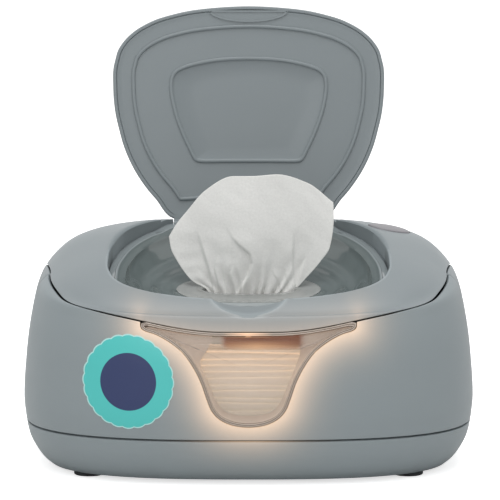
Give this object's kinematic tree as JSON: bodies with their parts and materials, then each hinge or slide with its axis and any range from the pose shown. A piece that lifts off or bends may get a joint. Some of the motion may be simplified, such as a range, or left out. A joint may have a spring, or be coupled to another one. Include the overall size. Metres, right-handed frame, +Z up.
{
  "type": "baby wipe warmer",
  "caption": "Baby wipe warmer: rounded grey housing with a lit refill window, a hinged cover, and a flip lid standing open behind a soft wipe drawn up through the mouth.",
  "frame": {"origin": "centre of the bounding box's base, on the plane that the feet stand on", "axes": "+X to the right as seen from the front, +Y to the rear, +Z up"},
  "size_m": [0.2384, 0.1775, 0.2351],
  "materials": {
    "housing": "fine satin grain, mid grey",
    "cover": "fine satin grain, light grey",
    "lid": "satin, mid grey",
    "foot": "matte",
    "hinge_pin": "drawn",
    "tub": "satin, off-white",
    "clear_window": "clear",
    "window_frame": "satin, pale pinkish grey",
    "light_guide": "milky",
    "lamp": "milky",
    "circuit_board": "lacquered",
    "stack": "moist soft sheets",
    "heater": "rolled",
    "pad": "felted",
    "thermostat": "pressed",
    "inlet": "smooth, black",
    "basin": "glossy, grey green",
    "seal": "soft, pale",
    "wipe": "soft white non-woven"
  },
  "bodies": {
    "base": {"base_pan": "housing", "foot_front_left": "foot", "foot_front_right": "foot", "foot_rear_left": "foot", "foot_rear_right": "foot", "body_shell": "housing", "cover_hinge_pin_left": "hinge_pin", "cover_hinge_pin_right": "hinge_pin", "wipe_tub": "tub", "tub_window": "clear_window", "window_bezel": "window_frame", "window_pane": "clear_window", "window_frame": "window_frame", "light_guide": "light_guide", "night_light_lamp": "lamp", "night_light_board": "circuit_board", "wipe_stack": "stack", "heater_plate": "heater", "insulation_pad": "pad", "thermostat": "thermostat", "control_board": "circuit_board", "power_inlet": "inlet"},
    "cover": {"cover_shell": "cover", "dispenser_basin": "basin", "mouth_seal": "seal", "lid_hinge_pin": "hinge_pin", "indicator_lamp": "lamp", "switch_board": "circuit_board", "standing_wipe": "wipe"},
    "flip_lid": {"lid_shell": "lid", "lid_panel": "lid"},
    "latch_left": {"side_latch_left": "cover"},
    "latch_right": {"side_latch_right": "cover"},
    "button": {"power_button": "cover"}
  },
  "joints": [
    {"name": "cover_hinge", "type": "hinge", "parent": "base", "child": "cover", "pos_m": [0, 0.0792, 0.1035], "axis": [-1, 0, 0], "range_deg": [0, 78]},
    {"name": "flip_lid_hinge", "type": "hinge", "parent": "cover", "child": "flip_lid", "pos_m": [0, 0.056, 0.1186], "axis": [1, 0, 0], "range_deg": [0, 116.4], "deforming": ["standing_wipe"]},
    {"name": "latch_left_press", "type": "slide", "parent": "cover", "child": "latch_left", "axis": [1, 0, 0], "range_m": [0, 0.0025], "stiffness_N_per_m": 400, "springref_m": -0.001},
    {"name": "latch_right_press", "type": "slide", "parent": "cover", "child": "latch_right", "axis": [-1, 0, 0], "range_m": [0, 0.0025], "stiffness_N_per_m": 400, "springref_m": -0.001},
    {"name": "power_button_press", "type": "slide", "parent": "cover", "child": "button", "axis": [0, 0, -1], "range_m": [0, 0.0012], "stiffness_N_per_m": 600, "springref_m": -0.0008}
  ]
}
